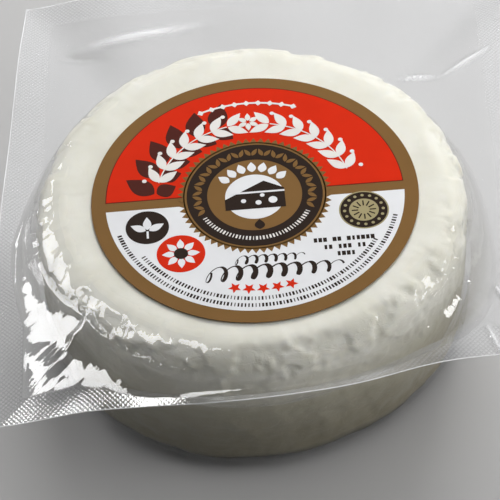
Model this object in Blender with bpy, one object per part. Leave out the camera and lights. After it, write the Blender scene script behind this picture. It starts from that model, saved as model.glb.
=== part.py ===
"""A wheel of fresh white cheese, vacuum-packed in a clear bag, with a round label.

The wheel lies flat on its base. The bag's two sheets hug it and meet in a sealed
flange, which stands out all round the wheel, above half its height. The flange is the
bag's solid: where the film lies tight on the cheese, the wheel's own surface stands for
it. The film slants down from the wheel's shoulder to the flange, most of all towards
the bag's front left corner. A round label is stuck on top.

Units are metres and +Z is up. The origin is the middle of the wheel's base.
"""

import math

import bmesh
import bpy
from mathutils import Vector

# The wheel of cheese
WHEEL_RADIUS = 0.0945
WHEEL_HEIGHT = 0.0785
TOP_ROUNDING = 0.011
BASE_ROUNDING = 0.015
ROUND_STEPS = 6  # facets across a rounded rim
WALL_STEPS = 4  # facets up the straight part of the side
# How the side strays from a true circle: waves in one turn, height, phase in radians
WHEEL_WAVES = ((2, 0.0007, 0.5), (3, 0.0005, 2.2), (5, 0.0003, 4.1))

# The bag's flange
FLANGE_THICKNESS = 0.0012
CLEARANCE = 0.0003  # kept between neighbouring solids
# The corners of the laid bag, in turn round it, before they droop
CORNERS = (
    Vector((-0.109, -0.098, 0.055)),
    Vector((0.119, -0.074, 0.054)),
    Vector((0.126, 0.168, 0.045)),
    Vector((-0.103, 0.157, 0.048)),
)
CORNER_DROOP = 0.004
DROOP_SPAN = 0.030  # how far from a corner the droop is felt
EDGE_STEPS = 26  # stations along each edge of the bag
EDGE_BOW = 0.0025  # how far the middle of an edge stands out from a straight line
EDGE_RIPPLE = 0.0010  # height of the slow ripple along an edge
EDGE_RIPPLES = 2.5  # ripples along one edge
NARROWEST_FLANGE = 0.0075
PUSH_SOFTNESS = 0.008  # how gently an edge turns to follow the wheel
LIFT_PER_PUSH = 0.80  # rise of an edge for each unit that the wheel pushes it out
# The line where the two sheets meet beside the wheel rises towards the front
SEAM_HEIGHT = 0.053
SEAM_RISE = 0.010
SEALED_BORDER = 0.013  # the two sheets lie flat together this far in from the edges

# How the film bridges from the wheel to the flange
TENT_REACH = 0.003  # from the wheel's side to the fold, where the film lies closest
# Wider bridges: direction in degrees, extra reach, half width in degrees
TENTS = ((224, 0.040, 27), (-32, 0.010, 20), (54, 0.007, 24), (124, 0.009, 24))
TENT_STEPS = 5  # facets from the wheel's shoulder to the flange, and along each of its curves
FOLD_SHARE = 0.4  # share of the flange's width that the fold may always take
LANDING_RUN = 0.004  # from the fold to where the film lies flat
LEAST_FLAT = 0.003  # the flange lies flat at least this far in from its edge
UNDER_DROP = 0.010  # how far down the wheel the lower sheet leaves it, where it lies closest
UNDER_DROP_PER_REACH = 1.3
UNDER_FOLD_SHARE = 0.7  # the lower sheet's fold, as a share of the upper one's run
FREE_EDGE = 0.0008  # thickness of the solid where the film leaves the wheel
INNER_SHARES = (1.0, 0.92, 0.84)  # of the lower sheet's drop: points on the solid's inner face

# The label
LABEL_RADIUS = 0.070
LABEL_THICKNESS = 0.0004
LABEL_CENTRE = Vector((0.0020, -0.0039, WHEEL_HEIGHT + CLEARANCE))
LABEL_SIDES = 96

CHEESE_COLOUR = (0.84, 0.83, 0.75, 1.0)
FILM_COLOUR = (0.86, 0.87, 0.88, 0.35)
LABEL_COLOUR = (0.72, 0.10, 0.03, 1.0)
CHEESE_ROUGHNESS = 0.45
FILM_ROUGHNESS = 0.12
LABEL_ROUGHNESS = 0.35
SHARP_EDGE = math.radians(40)


def remove_everything():
    """Empty the scene, so that only the part is in it."""
    for thing in list(bpy.data.objects):
        bpy.data.objects.remove(thing, do_unlink=True)


def finish(name, colour, roughness):
    """A plain material with one colour and roughness."""
    made = bpy.data.materials.new(name)
    made.use_nodes = True
    surface = made.node_tree.nodes["Principled BSDF"]
    surface.inputs["Base Color"].default_value = colour
    surface.inputs["Roughness"].default_value = roughness
    surface.inputs["Metallic"].default_value = 0.0
    surface.inputs["Alpha"].default_value = colour[3]
    return made


def add_object(name, mesh_data, material):
    """Make a scene object from a bmesh, shaded smooth except at its sharp edges."""
    bmesh.ops.recalc_face_normals(mesh_data, faces=mesh_data.faces)
    mesh = bpy.data.meshes.new(name)
    mesh_data.to_mesh(mesh)
    mesh_data.free()
    mesh.shade_smooth()
    mesh.set_sharp_from_angle(angle=SHARP_EDGE)
    mesh.materials.append(material)
    made = bpy.data.objects.new(name, mesh)
    bpy.context.collection.objects.link(made)
    return made


def smooth_max(a, b, softness):
    """The larger of two lengths, with a rounded change-over between them."""
    return (a + b + math.hypot(a - b, softness)) / 2


def bezier(start, fold, end, share):
    """A point on the curve that leaves start towards fold and arrives at end."""
    return start.lerp(fold, share).lerp(fold.lerp(end, share), share)


# The wheel


def wheel_swell(turn):
    """How far the side stands out from a true circle in one direction."""
    return sum(high * math.sin(count * turn + phase) for count, high, phase in WHEEL_WAVES)


def wheel_wall(turn):
    """Radius of the wheel's side in one direction."""
    return WHEEL_RADIUS + wheel_swell(turn)


def shoulder_point(turn, angle, proud=0.0):
    """(radius, height) on the top rounding, at an angle up from level."""
    reach = TOP_ROUNDING + proud
    return Vector((
        wheel_wall(turn) - TOP_ROUNDING + reach * math.cos(angle),
        WHEEL_HEIGHT - TOP_ROUNDING + reach * math.sin(angle),
    ))


def foot_point(turn, angle, proud=0.0):
    """(radius, height) on the base rounding, at an angle down from level."""
    reach = BASE_ROUNDING + proud
    return Vector((
        wheel_wall(turn) - BASE_ROUNDING + reach * math.cos(angle),
        BASE_ROUNDING - reach * math.sin(angle),
    ))


def down_the_wheel(turn, start, run, proud):
    """(radius, height) at a run down the wheel's surface from a height on its side."""
    straight = start - BASE_ROUNDING
    if run < straight:
        return Vector((wheel_wall(turn) + proud, start - run))
    return foot_point(turn, (run - straight) / BASE_ROUNDING, proud)


def wheel_profile(turn):
    """(radius, height) points up the wheel's side, from the base to the flat top."""
    quarter = math.pi / 2
    foot = [foot_point(turn, quarter * (1 - i / ROUND_STEPS)) for i in range(ROUND_STEPS + 1)]
    shoulder = [shoulder_point(turn, quarter * i / ROUND_STEPS) for i in range(ROUND_STEPS + 1)]
    wall = [foot[-1].lerp(shoulder[0], i / WALL_STEPS) for i in range(1, WALL_STEPS)]
    return foot + wall + shoulder


def spin_point(turn, radius, height):
    """A point of a profile, turned about the wheel's axis."""
    return Vector((radius * math.cos(turn), radius * math.sin(turn), height))


def close_rows(mesh_data, rows):
    """Faces between neighbouring rows of vertices, each row a closed ring."""
    for lower, upper in zip(rows, rows[1:]):
        for i in range(len(lower)):
            j = (i + 1) % len(lower)
            mesh_data.faces.new((lower[i], lower[j], upper[j], upper[i]))


def cheese_wheel():
    """The wheel of cheese, with rounded rims and a flat top and base."""
    mesh_data = bmesh.new()
    turns = [2 * math.pi * i / LABEL_SIDES for i in range(LABEL_SIDES)]
    profiles = [wheel_profile(turn) for turn in turns]
    rows = [
        [
            mesh_data.verts.new(spin_point(turn, *profile[step]))
            for turn, profile in zip(turns, profiles)
        ]
        for step in range(len(profiles[0]))
    ]
    close_rows(mesh_data, rows)
    mesh_data.faces.new(reversed(rows[0]))
    mesh_data.faces.new(rows[-1])
    return add_object("cheese_wheel", mesh_data, finish("cheese", CHEESE_COLOUR, CHEESE_ROUGHNESS))


# The bag


def outwards(start, end):
    """The level direction that points out of the bag from one of its edges."""
    return Vector((end.y - start.y, start.x - end.x, 0.0)).normalized()


def edge_point(start, end, share):
    """A point on one edge of the bag, bowed, rippled, and pushed out by the wheel."""
    hump = 4 * share * (1 - share)
    point = start.lerp(end, share) + outwards(start, end) * EDGE_BOW * hump
    point.z += EDGE_RIPPLE * hump * math.sin(2 * math.pi * EDGE_RIPPLES * share)
    from_corner = (end - start).length * min(share, 1 - share)
    point.z -= CORNER_DROOP * math.exp(-((from_corner / DROOP_SPAN) ** 2))
    plan = math.hypot(point.x, point.y)
    pushed = smooth_max(plan, WHEEL_RADIUS + NARROWEST_FLANGE, PUSH_SOFTNESS)
    point.x *= pushed / plan
    point.y *= pushed / plan
    point.z += LIFT_PER_PUSH * (pushed - plan)
    return point


def bag_edges():
    """The four edges, each as its two corners, anticlockwise from above."""
    return list(zip(CORNERS, CORNERS[1:] + CORNERS[:1]))


def bag_outline():
    """The flange's outer edge, station by station, anticlockwise from above."""
    return [
        edge_point(start, end, step / EDGE_STEPS)
        for start, end in bag_edges()
        for step in range(EDGE_STEPS)
    ]


def border_radius(turn):
    """How far from the wheel's axis the sealed border begins in one direction."""
    way = Vector((math.cos(turn), math.sin(turn), 0.0))
    return min(
        (start.dot(outwards(start, end)) - SEALED_BORDER) / way.dot(outwards(start, end))
        for start, end in bag_edges()
        if way.dot(outwards(start, end)) > 0
    )


def tent_reach(turn):
    """How far out from the wheel's side the film folds down onto the flange."""
    reach = TENT_REACH
    for direction, extra, half_width in TENTS:
        away = math.remainder(turn - math.radians(direction), 2 * math.pi)
        reach += extra * math.exp(-((away / math.radians(half_width)) ** 2))
    return reach


def leaving_angle(turn, fold):
    """Where the film leaves the top rounding so as to run straight to the fold."""
    centre = Vector((wheel_wall(turn) - TOP_ROUNDING, WHEEL_HEIGHT - TOP_ROUNDING))
    away = fold - centre
    return math.atan2(away.y, away.x) + math.acos(TOP_ROUNDING / away.length)


def flange_section(outer):
    """The closed section of the flange's solid between the wheel and one outer point."""
    turn = math.atan2(outer.y, outer.x)
    edge = math.hypot(outer.x, outer.y)
    wall = wheel_wall(turn)
    width = edge - wall
    seam = SEAM_HEIGHT - SEAM_RISE * math.sin(turn)
    half = FLANGE_THICKNESS / 2

    def on_flange(run, side):
        return Vector((wall + run, seam + (outer.z - seam) * run / width + side * half))

    fold_run = min(tent_reach(turn), max(border_radius(turn) - wall, FOLD_SHARE * width))
    flat_run = min(fold_run + LANDING_RUN, width - LEAST_FLAT)
    middle_run = (flat_run + width) / 2
    shares = [i / TENT_STEPS for i in range(TENT_STEPS)]

    # From the shoulder down to the flange, out to the edge and back underneath
    fold = on_flange(fold_run, 1)
    angle = leaving_angle(turn, fold)
    leaves = shoulder_point(turn, angle, CLEARANCE + FREE_EDGE)
    section = [bezier(leaves, fold, on_flange(flat_run, 1), share) for share in shares]
    section += [on_flange(run, 1) for run in (flat_run, middle_run, width)]
    section += [on_flange(run, -1) for run in (width, middle_run, flat_run)]

    # Up to where the lower sheet meets the wheel's side
    drop = UNDER_DROP + UNDER_DROP_PER_REACH * fold_run
    meets = down_the_wheel(turn, seam, drop, CLEARANCE + FREE_EDGE)
    under_fold = on_flange(UNDER_FOLD_SHARE * fold_run, -1)
    section += [
        bezier(meets, under_fold, on_flange(flat_run, -1), share) for share in reversed(shares)
    ]

    # Back up against the wheel
    section += [down_the_wheel(turn, seam, drop * share, CLEARANCE) for share in INNER_SHARES]
    section += [shoulder_point(turn, angle * share, CLEARANCE) for share in shares + [1.0]]
    return [spin_point(turn, *point) for point in section]


def bag():
    """The bag's flange: one closed ring round the wheel."""
    mesh_data = bmesh.new()
    sections = [
        [mesh_data.verts.new(point) for point in flange_section(outer)]
        for outer in bag_outline()
    ]
    close_rows(mesh_data, sections + sections[:1])
    return add_object("bag", mesh_data, finish("film", FILM_COLOUR, FILM_ROUGHNESS))


# The label


def label():
    """A thin round sheet on the wheel's flat top."""
    mesh_data = bmesh.new()
    bmesh.ops.create_circle(
        mesh_data, cap_ends=True, segments=LABEL_SIDES, radius=LABEL_RADIUS
    )
    bmesh.ops.translate(mesh_data, verts=mesh_data.verts, vec=LABEL_CENTRE)
    raised = bmesh.ops.extrude_face_region(mesh_data, geom=mesh_data.faces[:])
    top = [item for item in raised["geom"] if isinstance(item, bmesh.types.BMVert)]
    bmesh.ops.translate(mesh_data, verts=top, vec=(0.0, 0.0, LABEL_THICKNESS))
    return add_object("label", mesh_data, finish("print", LABEL_COLOUR, LABEL_ROUGHNESS))


def main():
    """Build the part."""
    remove_everything()
    cheese_wheel()
    bag()
    label()


main()
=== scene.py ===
"""The looks of a vacuum-packed wheel of white cheese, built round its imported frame.

The wheel of cheese is a relief over its CAD form. The bag is two sheets of clear film,
which lie tight on the wheel, bridge from it to the flange and lie together there. The
label is a round of card with its print laid on as thin fields of ink.

Sizes are in metres and +Z is up. The origin is the middle of the wheel's base.
"""

import math
import random

import bmesh
import bpy
from mathutils import Matrix, Quaternion, Vector, geometry, noise
from mathutils.bvhtree import BVHTree


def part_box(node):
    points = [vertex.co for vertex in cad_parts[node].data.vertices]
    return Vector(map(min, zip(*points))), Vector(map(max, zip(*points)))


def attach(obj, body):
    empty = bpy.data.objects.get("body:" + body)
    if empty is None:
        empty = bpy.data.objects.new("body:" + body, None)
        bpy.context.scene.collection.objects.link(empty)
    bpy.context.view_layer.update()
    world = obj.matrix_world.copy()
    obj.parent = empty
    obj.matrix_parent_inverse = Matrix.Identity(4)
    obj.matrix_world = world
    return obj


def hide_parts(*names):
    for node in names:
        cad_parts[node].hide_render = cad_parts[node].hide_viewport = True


bl_info = {
    "name": "Vacuum-packed Cheese Wheel",
    "version": (1, 0, 0),
    "blender": (4, 5, 0),
    "location": "3D View > Sidebar > Cheese Pack",
    "description": "Builds a wheel of white cheese in a clear vacuum bag with a round label",
    "category": "Object",
}

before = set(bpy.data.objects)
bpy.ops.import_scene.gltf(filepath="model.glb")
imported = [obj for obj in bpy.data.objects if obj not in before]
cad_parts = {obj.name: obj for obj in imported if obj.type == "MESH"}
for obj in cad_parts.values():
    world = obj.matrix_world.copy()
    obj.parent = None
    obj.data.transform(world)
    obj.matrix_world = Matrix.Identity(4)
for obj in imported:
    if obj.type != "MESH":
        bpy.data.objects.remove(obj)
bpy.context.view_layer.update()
WHEEL_LOW, WHEEL_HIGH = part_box("cheese_wheel")
LABEL_LOW, LABEL_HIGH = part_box("label")
BODY = "root"

# The wheel's form, as its solid has it
WHEEL_RADIUS = 0.0945
WHEEL_HEIGHT = WHEEL_HIGH.z
TOP_ROUNDING = 0.011
BASE_ROUNDING = 0.015
WHEEL_WAVES = ((2, 0.0007, 0.5), (3, 0.0005, 2.2), (5, 0.0003, 4.1))

# The bag's form, as its solid has it
CORNERS = (
    Vector((-0.109, -0.098, 0.055)),
    Vector((0.119, -0.074, 0.054)),
    Vector((0.126, 0.168, 0.045)),
    Vector((-0.103, 0.157, 0.048)),
)
CORNER_DROOP = 0.004
DROOP_SPAN = 0.030
EDGE_BOW = 0.0025
EDGE_RIPPLE = 0.0010
EDGE_RIPPLES = 2.5
NARROWEST_FLANGE = 0.0075
PUSH_SOFTNESS = 0.008
LIFT_PER_PUSH = 0.80
SEAM_HEIGHT = 0.053
SEAM_RISE = 0.010
SEALED_BORDER = 0.013
TENT_REACH = 0.003
TENTS = ((224, 0.040, 27), (-32, 0.010, 20), (54, 0.007, 24), (124, 0.009, 24))
FOLD_SHARE = 0.4
LANDING_RUN = 0.004
LEAST_FLAT = 0.003
UNDER_DROP = 0.010
UNDER_DROP_PER_REACH = 1.3
UNDER_FOLD_SHARE = 0.7

# The upper sheet sags between the rim and the border: steep first and then gently down
HOLLOW_SHARE = 0.30
HOLLOW_SLOPE = 0.17

# How finely the film and the cheese are meshed
EDGE_STEPS = 230  # stations along each edge of the bag
CAP_ROWS = 9
SHOULDER_ROWS = 9
TENT_ROWS = 30
FLANGE_ROWS = 36
WALL_ROWS = 12
FOOT_ROWS = 8
WHEEL_TURN_STEPS = 480
CLOSEST = 0.00005  # height kept between the floor and what lies on it

# The camera
CAMERA_PLACE = Vector((0.0020, -0.6609, 0.8056))
CAMERA_AIM = Vector((-0.00135, -0.03441, 0.0785))
CAMERA_ROLL = math.radians(-3.7)
CAMERA_LENS = 165.1  # mm, on a 36 mm sensor

# Painted shade on the wheel's wall: darker and yellower towards the foot, with a painted contact shadow at the
# foot, by share of the height that it reaches
PAINTED_SHADE_TOP = 0.068
PAINTED_WALL_SHADE = (
    (0.0, (0.05, 0.043, 0.030)),
    (0.13, (0.12, 0.107, 0.076)),
    (0.20, (0.26, 0.238, 0.182)),
    (0.38, (0.32, 0.298, 0.240)),
    (0.62, (0.45, 0.430, 0.370)),
    (1.0, (1.0, 1.0, 1.0)),
)

# Share of light that one sheet of film mirrors when seen head on, by what lies behind it
CLINGING_GLOSS = 0.035
FREE_GLOSS = 0.08
FREE_HAZE = 0.035  # what the free film is milkier by
TENT_HAZE = 0.10  # and its tents, most of all at the rim

# Windows that show in the film and light nothing else: name, middle, width and height
WINDOWS = (
    ("left_window", (-1.10, 0.26, 0.49), 0.88, 0.93),
    ("back_window", (-0.66, 0.83, 0.55), 0.20, 0.20),
    ("right_window", (1.14, -0.12, 0.36), 0.25, 0.25),
    ("roof_window", (-0.46, -0.125, 1.0), 0.56, 0.45),
)

# The room's glow
GLOW_ELEVATION = math.radians(38)
GLOW_SIDE = math.radians(22)
GLOW_SPREAD = math.radians(39)


# What a user would change


class WheelProperties(bpy.types.PropertyGroup):
    """The wheel of cheese."""

    inset: bpy.props.FloatProperty(
        name="Inset", description="How far the cheese lies inside the film's skin",
        default=0.0003, subtype="DISTANCE",
    )
    lump_depth: bpy.props.FloatProperty(
        name="Lump depth", description="Depth of the slow hollows in the cheese",
        default=0.0026, subtype="DISTANCE",
    )
    lump_size: bpy.props.FloatProperty(
        name="Lump size", description="Distance between the slow hollows",
        default=0.017, subtype="DISTANCE",
    )
    pit_depth: bpy.props.FloatProperty(
        name="Pit depth", description="Depth of the small pits and cracks",
        default=0.0009, subtype="DISTANCE",
    )
    colour: bpy.props.FloatVectorProperty(
        name="Cheese", description="Colour of the cheese",
        default=(0.86, 0.845, 0.755, 1.0), size=4, subtype="COLOR", min=0, max=1,
    )


class FilmProperties(bpy.types.PropertyGroup):
    """The bag's film."""

    proud: bpy.props.FloatProperty(
        name="Proud", description="How far the film lies outside the wheel's solid",
        default=0.00015, subtype="DISTANCE",
    )
    cling: bpy.props.FloatProperty(
        name="Cling", description="How far the film lies off the cheese where it clings to it",
        default=0.0003, subtype="DISTANCE",
    )
    half_gap: bpy.props.FloatProperty(
        name="Half gap", description="From the seam to each of the two sheets",
        default=0.00012, subtype="DISTANCE",
    )
    crumple: bpy.props.FloatProperty(
        name="Crumple", description="Height of the sharp folds where the film hangs free",
        default=0.0030, subtype="DISTANCE",
    )
    facet: bpy.props.FloatProperty(
        name="Facet", description="Distance between the points where the film is pinched",
        default=0.009, subtype="DISTANCE",
    )
    edge: bpy.props.FloatProperty(
        name="Edge", description="Thickness of the two sheets at their cut edge",
        default=0.00045, subtype="DISTANCE",
    )
    haze: bpy.props.FloatProperty(
        name="Haze", description="Share of the film that looks milky", default=0.012, min=0, max=1,
    )
    emboss_pitch: bpy.props.FloatProperty(
        name="Emboss pitch", description="Distance between the ribs of the embossed net",
        default=0.0021, subtype="DISTANCE",
    )


class LabelProperties(bpy.types.PropertyGroup):
    """The label and its print."""

    turn: bpy.props.FloatProperty(
        name="Turn", description="How far the label is turned on the wheel",
        default=math.radians(1.4), subtype="ANGLE",
    )
    field_radius: bpy.props.FloatProperty(
        name="Field radius", description="Radius of the two printed fields",
        default=0.0639, subtype="DISTANCE",
    )
    tooth_count: bpy.props.IntProperty(
        name="Teeth", description="Teeth round the medallion", default=62, min=3,
    )
    tan: bpy.props.FloatVectorProperty(
        name="Tan", description="Colour of the border, the band and the medallion",
        default=(0.235, 0.125, 0.040, 1.0), size=4, subtype="COLOR", min=0, max=1,
    )
    red: bpy.props.FloatVectorProperty(
        name="Red", description="Colour of the upper field",
        default=(0.74, 0.026, 0.003, 1.0), size=4, subtype="COLOR", min=0, max=1,
    )
    white: bpy.props.FloatVectorProperty(
        name="White", description="Colour of the lower field",
        default=(0.90, 0.905, 0.92, 1.0), size=4, subtype="COLOR", min=0, max=1,
    )
    dark: bpy.props.FloatVectorProperty(
        name="Dark", description="Colour of the dark ring and the small print",
        default=(0.028, 0.017, 0.012, 1.0), size=4, subtype="COLOR", min=0, max=1,
    )
    gold: bpy.props.FloatVectorProperty(
        name="Gold", description="Colour of the seal",
        default=(0.42, 0.36, 0.19, 1.0), size=4, subtype="COLOR", min=0, max=1,
    )


class StageProperties(bpy.types.PropertyGroup):
    """The floor and the lights."""

    floor: bpy.props.FloatVectorProperty(
        name="Floor", description="Colour of the floor",
        default=(0.52, 0.515, 0.51, 1.0), size=4, subtype="COLOR", min=0, max=1,
    )
    key_power: bpy.props.FloatProperty(
        name="Key", description="Power of the soft light behind and above",
        default=7.8, unit="POWER",
    )
    glow: bpy.props.FloatProperty(
        name="Glow", description="Brightness of the room's wide soft glow behind the pack",
        default=1.0, min=0,
    )
    side_power: bpy.props.FloatProperty(
        name="Side", description="Power of the soft light at the right",
        default=3.4, unit="POWER",
    )
    window: bpy.props.FloatProperty(
        name="Windows", description="Brightness of the windows that the film mirrors", default=10.0, min=0,
    )
    over_power: bpy.props.FloatProperty(
        name="Over", description="Power of the weak light overhead", default=3.35, unit="POWER",
    )
    front_power: bpy.props.FloatProperty(
        name="Front", description="Power of the soft light at the front", default=0.30, unit="POWER",
    )
    surround: bpy.props.FloatProperty(
        name="Surround", description="Brightness of the room", default=0.02, min=0,
    )


class CheesePackProperties(bpy.types.PropertyGroup):
    """Everything that a user would change."""

    wheel: bpy.props.PointerProperty(type=WheelProperties)
    film: bpy.props.PointerProperty(type=FilmProperties)
    label: bpy.props.PointerProperty(type=LabelProperties)
    stage: bpy.props.PointerProperty(type=StageProperties)


# Materials


class Nodes:
    """A node tree that is being built, with short ways to add and link nodes."""

    def __init__(self, tree):
        self.tree = tree

    def add(self, kind, settings=None, **inputs):
        """Add a node, set its options, and set or link its inputs by name or number."""
        made = self.tree.nodes.new(kind)
        for option, value in (settings or {}).items():
            setattr(made, option, value)
        for name, value in inputs.items():
            self.feed(made, name.replace("_", " "), value)
        return made

    def feed(self, node, name, value):
        """Set or link one input, named without regard to capitals, or by its number."""
        if name.isdigit():
            socket = node.inputs[int(name)]
        else:
            socket = next(s for s in node.inputs if s.enabled and s.name.lower() == name.lower())
        if isinstance(value, bpy.types.NodeSocket):
            self.tree.links.new(value, socket)
        else:
            socket.default_value = value

    def maths(self, operation, *values):
        """One sum on up to three values or sockets."""
        made = self.add("ShaderNodeMath", {"operation": operation})
        for number, value in enumerate(values):
            self.feed(made, str(number), value)
        return made.outputs[0]


def new_material(name):
    """An empty node material, ready to be filled."""
    made = bpy.data.materials.new(name)
    made.use_nodes = True
    made.node_tree.nodes.clear()
    return made, Nodes(made.node_tree)


def object_place(nodes):
    """The Object coordinates of the surface."""
    return nodes.add("ShaderNodeTexCoord").outputs["Object"]


def cheese_material(colour):
    """Fresh white cheese: a milky body with faint mottling, pores and a wet skin, and painted shade on its lower
    wall.
    """
    made, nodes = new_material("fresh_cheese")
    place = object_place(nodes)
    mottle = nodes.add(
        "ShaderNodeTexNoise", Vector=place, Scale=55.0, Detail=5.0, Roughness=0.55
    ).outputs["Fac"]
    pores = nodes.add(
        "ShaderNodeTexNoise", Vector=place, Scale=420.0, Detail=4.0, Roughness=0.6
    ).outputs["Fac"]
    tint = nodes.add("ShaderNodeValToRGB", Fac=mottle)
    tint.color_ramp.elements[0].position = 0.30
    tint.color_ramp.elements[0].color = [c * f for c, f in zip(colour, (0.90, 0.895, 0.86))] + [1]
    tint.color_ramp.elements[1].position = 0.62
    tint.color_ramp.elements[1].color = colour
    flattened = nodes.add("ShaderNodeVectorMath", {"operation": "MULTIPLY"})
    nodes.feed(flattened, "0", place)
    nodes.feed(flattened, "1", (1.0, 1.0, 2.6))
    cracks = nodes.add(
        "ShaderNodeTexNoise", {"noise_type": "RIDGED_MULTIFRACTAL"},
        Vector=flattened.outputs[0], Scale=48.0, Detail=4.0, Roughness=0.5,
    ).outputs["Fac"]
    height = nodes.maths("ADD", nodes.maths("MULTIPLY", mottle, 0.6), nodes.maths("MULTIPLY", pores, 0.4))
    height = nodes.maths("MULTIPLY_ADD", cracks, -0.9, height)
    curds = nodes.add(
        "ShaderNodeTexNoise", Vector=flattened.outputs[0], Scale=95.0, Detail=6.0, Roughness=0.62,
        Distortion=1.2,
    ).outputs["Fac"]
    edges = nodes.add("ShaderNodeMapRange", Value=curds, From_Min=0.46, From_Max=0.52).outputs[0]
    height = nodes.maths("MULTIPLY_ADD", edges, 0.35, height)
    height_up = nodes.add("ShaderNodeSeparateXYZ", Vector=place).outputs["Z"]
    below_rim = nodes.add(
        "ShaderNodeMapRange", Value=height_up, From_Min=0.0775, From_Max=0.073, To_Min=0.12,
    ).outputs[0]
    height = nodes.maths("MULTIPLY", height, below_rim)
    bump = nodes.add("ShaderNodeBump", Strength=0.35, Distance=0.0008, Height=height)
    # Painted shade: the lower wall darker and yellower, most of all at the foot, where it is a painted contact
    # shadow
    level = nodes.add("ShaderNodeMapRange", Value=height_up, From_Min=0.0, From_Max=PAINTED_SHADE_TOP)
    shade = nodes.add("ShaderNodeValToRGB", Fac=level.outputs[0])
    for share, shade_colour in PAINTED_WALL_SHADE:
        stop = shade.color_ramp.elements.new(share) if 0 < share < 1 else (
            shade.color_ramp.elements[0 if share == 0 else -1]
        )
        stop.color = (*shade_colour, 1.0)
    shaded_tint = nodes.add("ShaderNodeMix", {"data_type": "RGBA", "blend_type": "MULTIPLY"}, Factor=1.0)
    nodes.feed(shaded_tint, "A", tint.outputs["Color"])
    nodes.feed(shaded_tint, "B", shade.outputs["Color"])
    surface = nodes.add(
        "ShaderNodeBsdfPrincipled",
        Base_Color=shaded_tint.outputs[2],
        Roughness=0.5,
        Subsurface_Weight=0.2,
        Subsurface_Radius=(1.0, 0.85, 0.6),
        Subsurface_Scale=0.002,
        Normal=bump.outputs[0],
    )
    nodes.add("ShaderNodeOutputMaterial", Surface=surface.outputs[0])
    return made


def film_material(name, haze, pitch):
    """Clear glossy film: see-through, mirror-like at a slant, faintly milky, with an
    embossed net where its two sheets are sealed together."""
    made, nodes = new_material(name)
    place = object_place(nodes)
    across = nodes.add("ShaderNodeSeparateXYZ", Vector=place)
    x, y = across.outputs["X"], across.outputs["Y"]
    turns = 2 * math.pi / pitch
    ribs = [
        nodes.maths("SINE", nodes.maths("MULTIPLY", nodes.maths(way, x, y), turns))
        for way in ("ADD", "SUBTRACT")
    ]
    net = nodes.maths("MAXIMUM", ribs[0], ribs[1])
    sealed = nodes.add("ShaderNodeAttribute", {"attribute_name": "sealed"}).outputs["Fac"]
    relief = nodes.maths("MULTIPLY", net, sealed)
    ripple = nodes.add(
        "ShaderNodeTexNoise", Vector=place, Scale=260.0, Detail=3.0, Roughness=0.5
    ).outputs["Fac"]
    height = nodes.maths("ADD", nodes.maths("MULTIPLY", relief, 0.20), nodes.maths("MULTIPLY", ripple, 0.35))
    gathers = nodes.add(
        "ShaderNodeTexNoise", Vector=place, Scale=170.0, Detail=2.0, Roughness=0.6, Distortion=0.8
    ).outputs["Fac"]
    crinkles = nodes.add("ShaderNodeAttribute", {"attribute_name": "crinkles"}).outputs["Fac"]
    height = nodes.maths("MULTIPLY_ADD", nodes.maths("MULTIPLY", gathers, crinkles), 2.2, height)
    bump = nodes.add("ShaderNodeBump", Strength=0.25, Distance=0.0005, Height=height).outputs[0]
    clear = nodes.add("ShaderNodeBsdfTransparent", Color=(0.985, 0.987, 0.99, 1.0))
    mirror = nodes.add("ShaderNodeBsdfAnisotropic", Color=(1, 1, 1, 1), Roughness=0.05, Normal=bump)
    # The same on both faces of the sheet, which Fresnel's own node isn't
    slant = nodes.add("ShaderNodeLayerWeight", Blend=0.5, Normal=bump).outputs["Facing"]
    free = nodes.add("ShaderNodeAttribute", {"attribute_name": "free"}).outputs["Fac"]
    head_on = nodes.maths("MULTIPLY_ADD", free, FREE_GLOSS - CLINGING_GLOSS, CLINGING_GLOSS)
    gloss = nodes.maths("MULTIPLY_ADD", nodes.maths("POWER", slant, 5.0), 0.9, head_on)
    glossy = nodes.add("ShaderNodeMixShader", Fac=gloss)
    nodes.feed(glossy, "1", clear.outputs[0])
    nodes.feed(glossy, "2", mirror.outputs[0])
    milk = nodes.add("ShaderNodeBsdfDiffuse", Color=(0.93, 0.93, 0.94, 1.0), Normal=bump)
    cloud = nodes.maths("MULTIPLY", nodes.maths("POWER", nodes.maths("MAXIMUM", net, 0.0), 3.0), 0.10)
    cloud = nodes.maths("MULTIPLY_ADD", cloud, sealed, haze)
    cloud = nodes.maths("MULTIPLY_ADD", free, FREE_HAZE, cloud)
    bridging = nodes.maths("MULTIPLY", free, crinkles)
    cloud = nodes.maths("MULTIPLY_ADD", bridging, TENT_HAZE, cloud)
    # Painted highlight: the film goes milky white along its long creases, partly its own stress whitening
    creased = nodes.add("ShaderNodeAttribute", {"attribute_name": "creased"}).outputs["Fac"]
    cloud = nodes.maths("MULTIPLY_ADD", creased, 0.5, cloud)
    whole = nodes.add("ShaderNodeMixShader", Fac=cloud)
    nodes.feed(whole, "1", glossy.outputs[0])
    nodes.feed(whole, "2", milk.outputs[0])
    nodes.add("ShaderNodeOutputMaterial", Surface=whole.outputs[0])
    return made


def edge_material():
    """The film's cut edge: cloudy, and near white as a painted highlight for the light that the edge catches."""
    made, nodes = new_material("film_cut_edge")
    # Near-white colour: partly the sealed edge's own cloudiness, partly a painted highlight
    surface = nodes.add(
        "ShaderNodeBsdfPrincipled", Base_Color=(0.93, 0.93, 0.94, 1.0), Roughness=0.25, Alpha=0.75,
    )
    nodes.add("ShaderNodeOutputMaterial", Surface=surface.outputs[0])
    return made


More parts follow.
